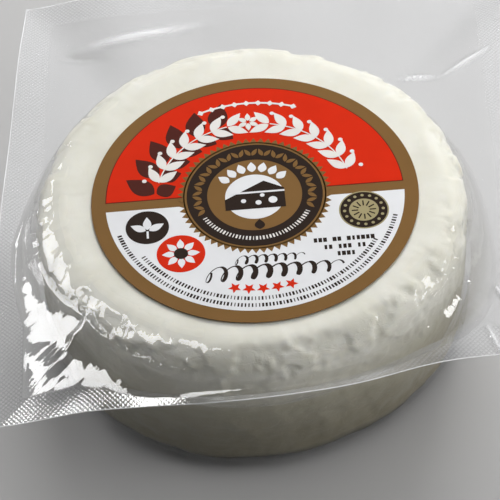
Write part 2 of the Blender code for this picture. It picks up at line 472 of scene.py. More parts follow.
def ink_material(name, colour, roughness=0.55, strength=0.12):
    """Printing ink on card: one colour, a little uneven, with a faint paper grain."""
    made, nodes = new_material(name)
    place = object_place(nodes)
    grain = nodes.add(
        "ShaderNodeTexNoise", Vector=place, Scale=900.0, Detail=3.0, Roughness=0.6
    ).outputs["Fac"]
    wash = nodes.add(
        "ShaderNodeTexNoise", Vector=place, Scale=70.0, Detail=2.0, Roughness=0.5
    ).outputs["Fac"]
    tint = nodes.add("ShaderNodeValToRGB", Fac=wash)
    tint.color_ramp.elements[0].position = 0.25
    tint.color_ramp.elements[0].color = [c * 0.92 for c in colour[:3]] + [1]
    tint.color_ramp.elements[1].position = 0.75
    tint.color_ramp.elements[1].color = colour
    bump = nodes.add("ShaderNodeBump", Strength=strength, Distance=0.0001, Height=grain)
    surface = nodes.add(
        "ShaderNodeBsdfPrincipled",
        Base_Color=tint.outputs["Color"],
        Roughness=roughness,
        Specular_IOR_Level=0.08,
        Normal=bump.outputs[0],
    )
    nodes.add("ShaderNodeOutputMaterial", Surface=surface.outputs[0])
    return made


def floor_material(colour):
    """A plain pale tabletop with a very faint unevenness."""
    made, nodes = new_material("pale_floor")
    cloud = nodes.add(
        "ShaderNodeTexNoise", Vector=object_place(nodes), Scale=6.0, Detail=2.0
    ).outputs["Fac"]
    tint = nodes.add("ShaderNodeValToRGB", Fac=cloud)
    tint.color_ramp.elements[0].color = [c * 0.97 for c in colour[:3]] + [1]
    tint.color_ramp.elements[1].color = colour
    surface = nodes.add("ShaderNodeBsdfPrincipled", Base_Color=tint.outputs["Color"], Roughness=0.8)
    nodes.add("ShaderNodeOutputMaterial", Surface=surface.outputs[0])
    return made


# The forms that the wheel and the bag share with their solids


def smooth_max(a, b, softness):
    """The larger of two lengths, with a rounded change-over between them."""
    return (a + b + math.hypot(a - b, softness)) / 2


def bezier(start, fold, end, share):
    """A point on the curve that leaves start towards fold and arrives at end."""
    return start.lerp(fold, share).lerp(fold.lerp(end, share), share)


def wheel_wall(turn):
    """Radius of the wheel's side in one direction."""
    swell = sum(high * math.sin(count * turn + phase) for count, high, phase in WHEEL_WAVES)
    return WHEEL_RADIUS + swell


def shoulder_point(turn, angle, proud=0.0):
    """(radius, height) on the top rounding, at an angle up from level."""
    reach = TOP_ROUNDING + proud
    return Vector((
        wheel_wall(turn) - TOP_ROUNDING + reach * math.cos(angle),
        WHEEL_HEIGHT - TOP_ROUNDING + reach * math.sin(angle),
    ))


def foot_point(turn, angle, proud=0.0):
    """(radius, height) on the base rounding, at an angle down from level."""
    reach = BASE_ROUNDING + proud
    return Vector((
        wheel_wall(turn) - BASE_ROUNDING + reach * math.cos(angle),
        max(CLOSEST, BASE_ROUNDING - reach * math.sin(angle)),
    ))


def outwards(start, end):
    """The level direction that points out of the bag from one of its edges."""
    return Vector((end.y - start.y, start.x - end.x, 0.0)).normalized()


def edge_point(start, end, share):
    """A point on one edge of the bag, bowed, rippled, and pushed out by the wheel."""
    hump = 4 * share * (1 - share)
    point = start.lerp(end, share) + outwards(start, end) * EDGE_BOW * hump
    point.z += EDGE_RIPPLE * hump * math.sin(2 * math.pi * EDGE_RIPPLES * share)
    from_corner = (end - start).length * min(share, 1 - share)
    point.z -= CORNER_DROOP * math.exp(-((from_corner / DROOP_SPAN) ** 2))
    plan = math.hypot(point.x, point.y)
    pushed = smooth_max(plan, WHEEL_RADIUS + NARROWEST_FLANGE, PUSH_SOFTNESS)
    point.x *= pushed / plan
    point.y *= pushed / plan
    point.z += LIFT_PER_PUSH * (pushed - plan)
    return point


def bag_edges():
    """The four edges, each as its two corners, anticlockwise from above."""
    return list(zip(CORNERS, CORNERS[1:] + CORNERS[:1]))


def bag_outline():
    """The flange's outer edge, station by station, anticlockwise from above."""
    return [
        edge_point(start, end, step / EDGE_STEPS)
        for start, end in bag_edges()
        for step in range(EDGE_STEPS)
    ]


def depth_inside(x, y):
    """How far a place in plan lies in from the nearest straight edge of the bag."""
    place = Vector((x, y, 0.0))
    return min((start - place).dot(outwards(start, end)) for start, end in bag_edges())


def border_radius(turn):
    """How far from the wheel's axis the sealed border begins in one direction."""
    way = Vector((math.cos(turn), math.sin(turn), 0.0))
    return min(
        (start.dot(outwards(start, end)) - SEALED_BORDER) / way.dot(outwards(start, end))
        for start, end in bag_edges()
        if way.dot(outwards(start, end)) > 0
    )


def tent_reach(turn):
    """How far out from the wheel's side the film folds down onto the flange."""
    reach = TENT_REACH
    for direction, extra, half_width in TENTS:
        away = math.remainder(turn - math.radians(direction), 2 * math.pi)
        reach += extra * math.exp(-((away / math.radians(half_width)) ** 2))
    return reach


def leaving_angle(turn, fold):
    """Where the film leaves the top rounding so as to run straight to the fold."""
    centre = Vector((wheel_wall(turn) - TOP_ROUNDING, WHEEL_HEIGHT - TOP_ROUNDING))
    away = fold - centre
    return math.atan2(away.y, away.x) + math.acos(TOP_ROUNDING / away.length)


def down_the_wheel(turn, start, run, proud):
    """(radius, height) at a run down the wheel's surface from a height on its side."""
    straight = start - BASE_ROUNDING
    if run < straight:
        return Vector((wheel_wall(turn) + proud, start - run))
    return foot_point(turn, min(math.pi / 2, (run - straight) / BASE_ROUNDING), proud)


def spin_point(turn, radius, height):
    """A point of a profile, turned about the wheel's axis."""
    return Vector((radius * math.cos(turn), radius * math.sin(turn), height))


def evenly(count):
    """Shares from just above 0 up to 1, in equal steps."""
    return [(i + 1) / count for i in range(count)]


class Station:
    """What the two sheets share at one point of the bag's outline."""

    def __init__(self, outer):
        self.turn = math.atan2(outer.y, outer.x)
        self.wall = wheel_wall(self.turn)
        self.width = math.hypot(outer.x, outer.y) - self.wall
        self.seam = SEAM_HEIGHT - SEAM_RISE * math.sin(self.turn)
        self.edge_height = outer.z
        border = max(border_radius(self.turn) - self.wall, FOLD_SHARE * self.width)
        self.fold_run = min(tent_reach(self.turn), border)
        self.flat_run = min(self.fold_run + LANDING_RUN, self.width - LEAST_FLAT)

    def on_flange(self, run, lift):
        """(radius, height) at a run out from the wheel's side, lifted off the seam."""
        slope = (self.edge_height - self.seam) / self.width
        return Vector((self.wall + run, self.seam + slope * run + lift))

    def flange(self, lift):
        """Points across the flange, from the fold's landing to the edge."""
        runs = [self.flat_run + (self.width - self.flat_run) * s for s in evenly(FLANGE_ROWS)]
        return [self.on_flange(run, lift) for run in runs]


def looseness_in_tent(station, share):
    """How freely the film can crumple along a bridge: not at all at its two ends."""
    room = min(1.0, 0.10 + (station.fold_run / 0.028) ** 2)
    return room * math.sin(math.pi * share) ** 0.6


def upper_profile(station, film):
    """[(point, looseness, crinkles, flange)] of the upper sheet, from near the axis out."""
    turn = station.turn
    lift = film.half_gap
    near = HOLLOW_SHARE * station.fold_run
    fold = station.on_flange(near, lift + HOLLOW_SLOPE * (station.fold_run - near))
    leaves_at = leaving_angle(turn, fold)
    rim = shoulder_point(turn, math.pi / 2, film.proud)
    rows = [(Vector((rim.x * share, rim.y)), 0.0, 0.0, 0.0) for share in evenly(CAP_ROWS)]
    for share in evenly(SHOULDER_ROWS):
        angle = math.pi / 2 + (leaves_at - math.pi / 2) * share
        rows.append((shoulder_point(turn, angle, film.proud), 0.0, 0.2 + 0.8 * share, 0.0))
    leaves, landing = rows[-1][0], station.on_flange(station.flat_run, lift)
    for share in evenly(TENT_ROWS):
        point = bezier(leaves, fold, landing, share)
        rows.append((point, looseness_in_tent(station, share), 1 - share, 0.0))
    rows += [(point, 0.0, 0.0, 1.0) for point in station.flange(lift)]
    return rows


def lower_profile(station, film):
    """[(point, looseness, crinkles, flange)] of the lower sheet, from near the axis out."""
    turn = station.turn
    lift = -film.half_gap
    drop = UNDER_DROP + UNDER_DROP_PER_REACH * station.fold_run
    whole_run = station.seam - BASE_ROUNDING + BASE_ROUNDING * math.pi / 2
    drop = min(drop, whole_run)
    sole = foot_point(turn, math.pi / 2, film.proud)
    rows = [(Vector((sole.x * share, sole.y)), 0.0, 0.0, 0.0) for share in evenly(CAP_ROWS // 2)]
    for share in evenly(FOOT_ROWS + WALL_ROWS):
        run = whole_run + (drop - whole_run) * share
        rows.append((down_the_wheel(turn, station.seam, run, film.proud), 0.0, 0.6 * share, 0.0))
    meets, landing = rows[-1][0], station.on_flange(station.flat_run, lift)
    fold = station.on_flange(UNDER_FOLD_SHARE * station.fold_run, lift)
    for share in evenly(TENT_ROWS):
        point = bezier(meets, fold, landing, share)
        rows.append((point, looseness_in_tent(station, share), 1 - share, 0.0))
    rows += [(point, 0.0, 0.0, 1.0) for point in station.flange(lift)]
    return rows


# Making pieces


def add_piece(name, mesh_data, material, slot, smooth=True):
    """Make a scene object from a bmesh and let it ride on the frame."""
    mesh = bpy.data.meshes.new(name)
    mesh_data.to_mesh(mesh)
    mesh_data.free()
    if smooth:
        mesh.shade_smooth()
    mesh.materials.append(material)
    made = bpy.data.objects.new(name, mesh)
    bpy.context.collection.objects.link(made)
    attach(made, BODY)
    made.visible_shadow = slot != "film"
    return made


def spun_sheet(rows_of_points):
    """A bmesh of closed rings round the axis, with a pole in the middle."""
    mesh_data = bmesh.new()
    pole = mesh_data.verts.new((0.0, 0.0, rows_of_points[0][0].z))
    rings = [[mesh_data.verts.new(point) for point in row] for row in rows_of_points]
    count = len(rings[0])
    for i in range(count):
        mesh_data.faces.new((pole, rings[0][i], rings[0][(i + 1) % count]))
    for inner, outer in zip(rings, rings[1:]):
        for i in range(count):
            j = (i + 1) % count
            mesh_data.faces.new((inner[i], outer[i], outer[j], inner[j]))
    return mesh_data


# The cheese


def cheese_profile(turn, inset):
    """(radius, height) points from the axis over the top, down the side and under."""
    quarter = math.pi / 2
    rim = shoulder_point(turn, quarter, -inset)
    sole = foot_point(turn, quarter, -inset)
    points = [Vector((rim.x * share, rim.y)) for share in evenly(36)]
    points += [shoulder_point(turn, quarter * (1 - share), -inset) for share in evenly(14)]
    wall_top, wall_foot = points[-1], foot_point(turn, 0.0, -inset)
    points += [wall_top.lerp(wall_foot, share) for share in evenly(40)]
    points += [foot_point(turn, quarter * share, -inset) for share in evenly(14)]
    points += [Vector((sole.x * (1 - share), sole.y)) for share in (0.3, 0.6, 0.9)]
    return points


def relief_tree():
    """Geometry Nodes that sink hollows, cracks and pits into a surface, most of all on
    its side, and give it its material."""
    tree = bpy.data.node_groups.new("cheese_relief", "GeometryNodeTree")
    face = tree.interface
    face.new_socket("Geometry", in_out="OUTPUT", socket_type="NodeSocketGeometry")
    face.new_socket("Geometry", in_out="INPUT", socket_type="NodeSocketGeometry")
    for name in ("Lump Depth", "Lump Size", "Pit Depth", "Top Share"):
        face.new_socket(name, in_out="INPUT", socket_type="NodeSocketFloat")
    face.new_socket("Seed", in_out="INPUT", socket_type="NodeSocketFloat")
    face.new_socket("Material", in_out="INPUT", socket_type="NodeSocketMaterial")
    nodes = Nodes(tree)
    given = nodes.add("NodeGroupInput").outputs
    normal = nodes.add("GeometryNodeInputNormal").outputs[0]
    place = nodes.add("GeometryNodeInputPosition").outputs[0]
    per_metre = nodes.maths("DIVIDE", 1.0, given["Lump Size"])

    lumps = nodes.add(
        "ShaderNodeTexNoise", {"noise_dimensions": "4D"},
        Vector=place, W=given["Seed"], Scale=per_metre, Detail=2.0, Roughness=0.5,
    ).outputs[0]
    # Slow folds that run level round the side, left by the cloth that the curd drained in
    squeezed = nodes.add("ShaderNodeVectorMath", {"operation": "MULTIPLY"})
    nodes.feed(squeezed, "0", place)
    nodes.feed(squeezed, "1", (1.0, 1.0, 4.5))
    folds = nodes.add(
        "ShaderNodeTexNoise", {"noise_dimensions": "4D", "noise_type": "RIDGED_MULTIFRACTAL"},
        Vector=squeezed.outputs[0], W=given["Seed"], Scale=per_metre, Detail=3.0,
    ).outputs[0]
    pits = nodes.add(
        "ShaderNodeTexVoronoi", {"voronoi_dimensions": "4D"},
        Vector=place, W=given["Seed"], Scale=nodes.maths("MULTIPLY", per_metre, 3.0),
    ).outputs["Distance"]
    hole = nodes.maths("SUBTRACT", 1.0, nodes.add("ShaderNodeMapRange", {"interpolation_type": "SMOOTHSTEP"}, Value=pits, From_Min=0.05, From_Max=0.22).outputs[0])
    sparse = nodes.add(
        "ShaderNodeTexNoise", {"noise_dimensions": "4D"}, Vector=place, W=given["Seed"],
        Scale=nodes.maths("MULTIPLY", per_metre, 1.5), Detail=1.0,
    ).outputs[0]
    some = nodes.add("ShaderNodeMapRange", Value=sparse, From_Min=0.5, From_Max=0.62).outputs[0]

    upward = nodes.add("ShaderNodeSeparateXYZ", Vector=normal).outputs["Z"]
    on_side = nodes.add(
        "ShaderNodeMapRange", Value=nodes.maths("ABSOLUTE", upward), From_Min=0.75, From_Max=0.995,
        To_Min=1.0, To_Max=given["Top Share"],
    ).outputs[0]
    from_axis = nodes.add("ShaderNodeVectorMath", {"operation": "LENGTH"})
    level = nodes.add("ShaderNodeVectorMath", {"operation": "MULTIPLY"})
    nodes.feed(level, "0", place)
    nodes.feed(level, "1", (1.0, 1.0, 0.0))
    nodes.feed(from_axis, "0", level.outputs[0])
    near_rim = nodes.add(
        "ShaderNodeMapRange", {"interpolation_type": "SMOOTHSTEP"}, Value=from_axis.outputs["Value"],
        From_Min=0.079, From_Max=0.090,
    ).outputs[0]
    share = nodes.maths("MAXIMUM", on_side, near_rim)
    # Flakes: level patches with a steep, ragged step between them
    patches = nodes.add(
        "ShaderNodeTexNoise", {"noise_dimensions": "4D"}, Vector=place, W=nodes.maths("ADD", given["Seed"], 5.0),
        Scale=nodes.maths("MULTIPLY", per_metre, 1.25), Detail=4.0, Roughness=0.55,
    ).outputs[0]
    step = nodes.add(
        "ShaderNodeMapRange", {"interpolation_type": "SMOOTHSTEP"}, Value=patches,
        From_Min=0.46, From_Max=0.54, To_Max=nodes.maths("MULTIPLY", given["Lump Depth"], 0.42),
    ).outputs[0]
    height_up = nodes.add("ShaderNodeSeparateXYZ", Vector=place).outputs["Z"]
    high_up = nodes.add(
        "ShaderNodeMapRange", Value=height_up, From_Min=0.040, From_Max=0.066, To_Min=0.25,
    ).outputs[0]
    step = nodes.maths("MULTIPLY", step, high_up)
    slow = nodes.maths("MULTIPLY", nodes.maths("SUBTRACT", 1.0, lumps), given["Lump Depth"])
    slow = nodes.maths("ADD", slow, step)
    fold_depth = nodes.maths("MULTIPLY", folds, nodes.maths("MULTIPLY", given["Lump Depth"], 0.35))
    pit = nodes.maths("MULTIPLY", nodes.maths("MULTIPLY", hole, some), given["Pit Depth"])
    depth = nodes.maths("ADD", nodes.maths("MULTIPLY", nodes.maths("ADD", slow, fold_depth), share), nodes.maths("MULTIPLY", pit, nodes.maths("MAXIMUM", share, 0.4)))
    inwards = nodes.add("ShaderNodeVectorMath", {"operation": "SCALE"})
    nodes.feed(inwards, "0", normal)
    nodes.feed(inwards, "3", nodes.maths("MULTIPLY", depth, -1.0))
    moved = nodes.add("GeometryNodeSetPosition", Geometry=given["Geometry"], Offset=inwards.outputs[0])
    finish_tree(nodes, moved.outputs[0], given["Material"])
    return tree


def finish_tree(nodes, shape, material):
    """End a tree in real geometry with its material."""
    real = nodes.add("GeometryNodeRealizeInstances", Geometry=shape)
    dressed = nodes.add("GeometryNodeSetMaterial", Geometry=real.outputs[0], Material=material)
    nodes.add("NodeGroupOutput", Geometry=dressed.outputs[0])


def run_nodes(made, tree, **inputs):
    """Run a Geometry Nodes tree on a piece and keep the result as its plain mesh."""
    modifier = made.modifiers.new(tree.name, "NODES")
    modifier.node_group = tree
    for item in tree.interface.items_tree:
        key = item.name.lower().replace(" ", "_")
        if key in inputs:
            modifier[item.identifier] = inputs[key]
    graph = bpy.context.evaluated_depsgraph_get()
    mesh = bpy.data.meshes.new_from_object(made.evaluated_get(graph))
    made.modifiers.clear()
    made.data = mesh
    return made


class CHEESEPACK_OT_wheel(bpy.types.Operator):
    """Make the wheel of cheese"""

    bl_idname = "cheese_pack.wheel"
    bl_label = "Cheese Wheel"

    def execute(self, context):
        wheel = context.scene.cheese_pack.wheel
        turns = [2 * math.pi * i / WHEEL_TURN_STEPS for i in range(WHEEL_TURN_STEPS)]
        profiles = [cheese_profile(turn, wheel.inset) for turn in turns]
        rows = [
            [spin_point(turn, *profile[step]) for turn, profile in zip(turns, profiles)]
            for step in range(len(profiles[0]))
        ]
        mesh_data = spun_sheet(rows)
        last_ring = mesh_data.verts[-WHEEL_TURN_STEPS:]
        mesh_data.faces.new(last_ring)
        bmesh.ops.recalc_face_normals(mesh_data, faces=mesh_data.faces)
        material = cheese_material(wheel.colour)
        made = add_piece("cheese", mesh_data, material, "cheese")
        run_nodes(
            made, relief_tree(), lump_depth=wheel.lump_depth, lump_size=wheel.lump_size,
            pit_depth=wheel.pit_depth, top_share=0.1, seed=3.0, material=material,
        )
        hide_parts("cheese_wheel")
        return {"FINISHED"}


# The bag


class FoldNet:
    """Sharp folds: points joined by flat triangles, whose height is read at any place."""

    def __init__(self, spacing, seed, chosen=(), lines=()):
        chance = random.Random(seed)
        points = [Vector((x, y)) for x, y, _ in chosen]
        heights = [rise for _, _, rise in chosen]
        low_x, high_x = min(c.x for c in CORNERS) - spacing, max(c.x for c in CORNERS) + spacing
        low_y, high_y = min(c.y for c in CORNERS) - spacing, max(c.y for c in CORNERS) + spacing
        across = int((high_x - low_x) / spacing) + 2
        along = int((high_y - low_y) / spacing) + 2
        for i in range(-1, across):
            for j in range(-1, along):
                x = low_x + spacing * (i + chance.uniform(-0.42, 0.42) + 0.5 * (j % 2))
                y = low_y + spacing * (j + chance.uniform(-0.42, 0.42))
                rise = chance.uniform(-1.0, 1.0)
                place = Vector((x, y))
                if all((place - Vector(c[:2])).length > 0.8 * spacing for c in chosen):
                    points.append(place)
                    heights.append(rise)
        verts, _, faces, sources, _, _ = geometry.delaunay_2d_cdt(points, list(lines), [], 0, 1e-7)
        corners = [
            Vector((v.x, v.y, heights[source[0]] if source else 0.0))
            for v, source in zip(verts, sources)
        ]
        self.tree = BVHTree.FromPolygons(corners, faces)

    def height(self, place):
        """Height of the folds over one place in plan, between -1 and 1."""
        hit = self.tree.ray_cast(Vector((place.x, place.y, 9.0)), Vector((0, 0, -1)))[0]
        return hit.z if hit else 0.0


# Where the upper sheet is pinched at the front left: x, y, and height between -1 and 1
FRONT_LEFT_FOLDS = (
    # A ridge that runs in from the sealed border towards the rim
    (-0.0977, -0.0342, 0.9), (-0.0926, -0.0362, 1.0), (-0.0860, -0.0393, 1.0),
    (-0.0819, -0.0456, 0.9), (-0.0749, -0.0508, 0.9), (-0.0704, -0.0558, 0.7),
    # The hollow between that ridge and the rim
    (-0.0860, -0.0270, -0.7), (-0.0800, -0.0350, -1.0), (-0.0745, -0.0430, -1.0), (-0.0690, -0.0500, -0.8),
    # The hollow on the ridge's other side
    (-0.0832, -0.0493, -0.6), (-0.0780, -0.0560, -0.9), (-0.0739, -0.0615, -0.9),
    # A short ridge at the rim's apex
    (-0.0700, -0.0615, 0.9), (-0.0666, -0.0610, 1.0),
    # The long ridge that leaves the apex towards the front
    (-0.0735, -0.0655, 0.6), (-0.0663, -0.0662, 1.0), (-0.0591, -0.0700, 1.0),
    (-0.0531, -0.0741, 0.9), (-0.0478, -0.0782, 0.6), (-0.0434, -0.0823, 0.2),
    # The flat triangles below it
    (-0.0960, -0.0480, 0.5), (-0.0900, -0.0570, -0.1), (-0.0830, -0.0640, -0.2), (-0.0900, -0.0720, 0.1),
    (-0.0790, -0.0730, -0.4), (-0.0690, -0.0760, -0.5), (-0.0600, -0.0800, -0.5), (-0.0800, -0.0850, 0.1),
    (-0.0960, -0.0200, 0.6), (-0.0940, -0.0060, -0.4), (-0.0965, 0.0080, 0.5),
)

# Long straight creases in the flange: start, end, height, half width
CREASES = (
    ((-0.0810, 0.1260), (-0.0160, 0.1385), 0.0013, 0.0034),
    ((-0.0890, 0.1213), (-0.0640, 0.1190), -0.0010, 0.0022),
    ((0.0706, 0.0950), (0.0912, 0.0920), 0.0009, 0.0016),
    ((0.0912, 0.0920), (0.1180, 0.1110), 0.0010, 0.0018),
    ((0.0990, -0.0380), (0.1080, -0.0560), 0.0010, 0.0013),
    ((0.0950, -0.0620), (0.1010, -0.0790), 0.0010, 0.0013),
)


def creases_at(x, y):
    """[(height, nearness)] of the long creases at one place."""
    place = Vector((x, y))
    found = []
    for start, end, height, half_width in CREASES:
        start, end = Vector(start), Vector(end)
        along = max(0.0, min(1.0, (place - start).dot(end - start) / (end - start).length_squared))
        away = (place - start.lerp(end, along)).length / half_width
        taper = math.sin(math.pi * (0.06 + 0.88 * along))
        found.append((height, math.exp(-away ** 1.3) * taper))
    return found


def whitening(x, y):
    """How white the film is along its long creases at one place: partly the film's stress whitening, partly a
    painted highlight.
    """
    return max(near for height, near in creases_at(x, y) if height > 0) ** 2


def flange_lift(x, y):
    """Height that creases and slow waves add to both sheets at one place."""
    free = min(1.0, max(0.0, (math.hypot(x, y) - WHEEL_RADIUS - 0.004) / 0.012))
    slow = noise.noise(Vector((x, y, 0.0)) * 28.0) * 0.0009
    return free * (slow + sum(height * near for height, near in creases_at(x, y)))


def pucker(point, loose):
    """Small gathers where the film leaves the wheel's rim, running down the fall."""
    turn = math.atan2(point.y, point.x)
    ring = Vector((math.cos(turn), math.sin(turn), 0.0))
    wave = abs(noise.noise(ring * 21.0)) + 0.5 * abs(noise.noise(ring * 53.0 + Vector((7, 0, 0))))
    return -0.0011 * wave * loose


def cheese_surface():
    """The cheese's own surface, ready to be measured from."""
    mesh = bpy.data.objects["cheese"].data
    corners = [vertex.co.copy() for vertex in mesh.vertices]
    return BVHTree.FromPolygons(corners, [face.vertices[:] for face in mesh.polygons])


def film_sheet(name, profile_of, film, seed, strength, material, chosen=()):
    """One sheet of the bag's film, crumpled where it hangs free."""
    stations = [Station(outer) for outer in bag_outline()]
    profiles = [profile_of(station, film) for station in stations]
    rows = [
        [spin_point(station.turn, *profile[step][0]) for station, profile in zip(stations, profiles)]
        for step in range(len(profiles[0]))
    ]
    steps = range(len(profiles[0]))
    looseness, crinkles, flange = (
        [0.0] + [profile[step][what] for step in steps for profile in profiles] for what in (1, 2, 3)
    )
    mesh_data = spun_sheet(rows)
    mesh_data.normal_update()
    large = FoldNet(film.facet * 1.7, seed, chosen)
    small = FoldNet(film.facet * 0.7, seed + 1)
    cheese = cheese_surface()
    sealed, free, creased = [], [], []
    for vertex, loose, on_flange in zip(mesh_data.verts, looseness, flange):
        place = vertex.co
        if loose > 0:
            folds = 0.75 * large.height(place) + 0.3 * small.height(place)
            vertex.co = place + vertex.normal * (strength * folds * loose + pucker(place, loose))
        elif not on_flange:
            surface, normal, _, away = cheese.find_nearest(place)
            if place.z > BASE_ROUNDING and away < 0.004:
                vertex.co = surface + normal * film.cling
        vertex.co.z += flange_lift(place.x, place.y)
        inside = depth_inside(vertex.co.x, vertex.co.y)
        free.append(max(on_flange, min(1.0, 1.6 * loose ** 0.5)))
        # The painted highlight along the long creases, partly the film's stress whitening
        creased.append(on_flange and whitening(place.x, place.y))
        sealed.append(on_flange * max(0.0, min(1.0, (SEALED_BORDER - inside) / 0.0008)))
    made = add_piece(name, mesh_data, material, "film")
    marks = {"sealed": sealed, "crinkles": crinkles, "free": free, "creased": creased}
    for title, values in marks.items():
        mark = made.data.attributes.new(title, "FLOAT", "POINT")
        mark.data.foreach_set("value", values)
    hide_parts("bag")
    return made


def bead_tree():
    """Geometry Nodes that lay a thin bead along a closed line: the film's cut edge."""
    tree = bpy.data.node_groups.new("edge_bead", "GeometryNodeTree")
    face = tree.interface
    face.new_socket("Geometry", in_out="OUTPUT", socket_type="NodeSocketGeometry")
    face.new_socket("Geometry", in_out="INPUT", socket_type="NodeSocketGeometry")
    face.new_socket("Thickness", in_out="INPUT", socket_type="NodeSocketFloat")
    face.new_socket("Material", in_out="INPUT", socket_type="NodeSocketMaterial")
    nodes = Nodes(tree)
    given = nodes.add("NodeGroupInput").outputs
    line = nodes.add("GeometryNodeMeshToCurve", Mesh=given["Geometry"])
    half = nodes.maths("DIVIDE", given["Thickness"], 2.0)
    section = nodes.add("GeometryNodeCurvePrimitiveCircle", Resolution=6, Radius=half)
    bead = nodes.add("GeometryNodeCurveToMesh", Curve=line.outputs[0], Profile_Curve=section.outputs[0])
    finish_tree(nodes, bead.outputs[0], given["Material"])
    return tree


def edge_bead(thickness, material):
    """The film's cut edge all round the bag, whose near-white colour paints in the light that it catches."""
    mesh_data = bmesh.new()
    corners = []
    for point in bag_outline():
        point.z += flange_lift(point.x, point.y)
        corners.append(mesh_data.verts.new(point))
    for one, two in zip(corners, corners[1:] + corners[:1]):
        mesh_data.edges.new((one, two))
    made = add_piece("film_edge", mesh_data, material, "film")
    run_nodes(made, bead_tree(), thickness=thickness, material=material)
    made.data.shade_smooth()
    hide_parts("bag")


class CHEESEPACK_OT_bag(bpy.types.Operator):
    """Make the two sheets of the bag's film"""

    bl_idname = "cheese_pack.bag"
    bl_label = "Vacuum Bag"

    def execute(self, context):
        film = context.scene.cheese_pack.film
        material = film_material("clear_film", film.haze, film.emboss_pitch)
        film_sheet("film_upper", upper_profile, film, 11, film.crumple, material, FRONT_LEFT_FOLDS)
        lower = film_sheet("film_lower", lower_profile, film, 29, -0.6 * film.crumple, material)
        lower.data.flip_normals()
        edge_bead(film.edge, edge_material())
        return {"FINISHED"}


# The label


def label_place():
    """Where the label's own plane lies on the wheel."""
    middle = (LABEL_LOW + LABEL_HIGH) / 2
    turn = bpy.context.scene.cheese_pack.label.turn
    return Matrix.Translation((middle.x, middle.y, LABEL_LOW.z)) @ Matrix.Rotation(turn, 4, "Z")


def plate(mesh_data, outline, low, high):
    """A flat plate with one outline, given anticlockwise, closed all round."""
    under = [mesh_data.verts.new((x, y, low)) for x, y in outline]
    over = [mesh_data.verts.new((x, y, high)) for x, y in outline]
    mesh_data.faces.new(reversed(under))
    mesh_data.faces.new(over)
    for i in range(len(outline)):
        j = (i + 1) % len(outline)
        mesh_data.faces.new((under[i], under[j], over[j], over[i]))


def ring_plate(mesh_data, inner, outer, low, high, centre=(0.0, 0.0), steps=160):
    """A flat ring, closed all round."""
    loops = []
    for radius, height in ((inner, low), (outer, low), (outer, high), (inner, high)):
        loops.append([
            mesh_data.verts.new((
                centre[0] + radius * math.cos(2 * math.pi * i / steps),
                centre[1] + radius * math.sin(2 * math.pi * i / steps),
                height,
            ))
            for i in range(steps)
        ])
    for one, two in zip(loops, loops[1:] + loops[:1]):
        for i in range(steps):
            j = (i + 1) % steps
            mesh_data.faces.new((one[i], one[j], two[j], two[i]))


def circle(radius, centre=(0.0, 0.0), steps=96):
    """Points round a circle, anticlockwise."""
    return [
        (centre[0] + radius * math.cos(2 * math.pi * i / steps),
         centre[1] + radius * math.sin(2 * math.pi * i / steps))
        for i in range(steps)
    ]


def segment(radius, cut, upper, steps=120):
    """The part of a circle above or below a level cut."""
    dip = math.asin(cut / radius)
    first, last = (dip, math.pi - dip) if upper else (math.pi - dip, 2 * math.pi + dip)
    angles = [first + (last - first) * i / steps for i in range(steps + 1)]
    return [(radius * math.cos(a), radius * math.sin(a)) for a in angles]


def star(radius, points=5, waist=0.45):
    """A star with one point up."""
    outline = []
    for i in range(2 * points):
        reach = radius if i % 2 == 0 else radius * waist
        angle = math.pi / 2 + math.pi * i / points
        outline.append((reach * math.cos(angle), reach * math.sin(angle)))
    return outline


def leaf(length, width, lean=0.0, steps=14):
    """A pointed leaf that grows up from the origin, leaning to one side."""
    outline = []
    for side in (1, -1):
        for i in range(steps):
            share = i / steps if side == 1 else 1 - i / steps
            half = side * width / 2 * math.sin(math.pi * share ** 0.8)
            bend = lean * share ** 2
            outline.append((half + bend, length * share))
    return outline


def move(outline, offset=(0.0, 0.0), turn=0.0):
    """An outline turned about the origin and then moved."""
    c, s = math.cos(turn), math.sin(turn)
    return [(x * c - y * s + offset[0], x * s + y * c + offset[1]) for x, y in outline]


def pen_stroke(mesh_data, path, widest, low, high, steps=240):
    """A stroke along a path that may cross itself, thin at its ends and on upstrokes."""
    middle = [Vector(path(i / steps)) for i in range(steps + 1)]
    corners = []
    for i, point in enumerate(middle):
        way = (middle[min(steps, i + 1)] - middle[max(0, i - 1)]).normalized()
        share = i / steps
        press = 0.25 + 0.75 * max(0.0, -way.y) ** 0.7
        half = widest / 2 * press * math.sin(math.pi * min(0.98, max(0.02, share))) ** 0.35
        side = Vector((-way.y, way.x)) * half
        rise = INK / 2 * share
        corners.append([
            mesh_data.verts.new((*(point + side * way_out), height))
            for way_out, height in ((-1, low), (1, low), (1, high + rise), (-1, high + rise))
        ])
    for one, two in zip(corners, corners[1:]):
        for i in range(4):
            j = (i + 1) % 4
            mesh_data.faces.new((one[i], one[j], two[j], two[i]))
    mesh_data.faces.new(reversed(corners[0]))
    mesh_data.faces.new(corners[-1])


def arc_band(inner, outer, first, last, steps=60):
    """Part of a ring between two angles in degrees, the first the smaller."""
    angles = [math.radians(first + (last - first) * i / steps) for i in range(steps + 1)]
    rim = [(outer * math.cos(a), outer * math.sin(a)) for a in angles]
    return rim + [(inner * math.cos(a), inner * math.sin(a)) for a in reversed(angles)]


INK = 0.00005  # thickness of one layer of ink
CARD = 0.00022  # thickness of the card


def layer(number):
    """Lower and upper height of one layer of ink, counted from the card."""
    return CARD + number * INK - INK / 5, CARD + (number + 1) * INK


def lay_down(made):
    """Put a flat piece from the label's own plane onto the wheel."""
    made.data.transform(label_place())
    made.data.update()
    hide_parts("label")
    return made


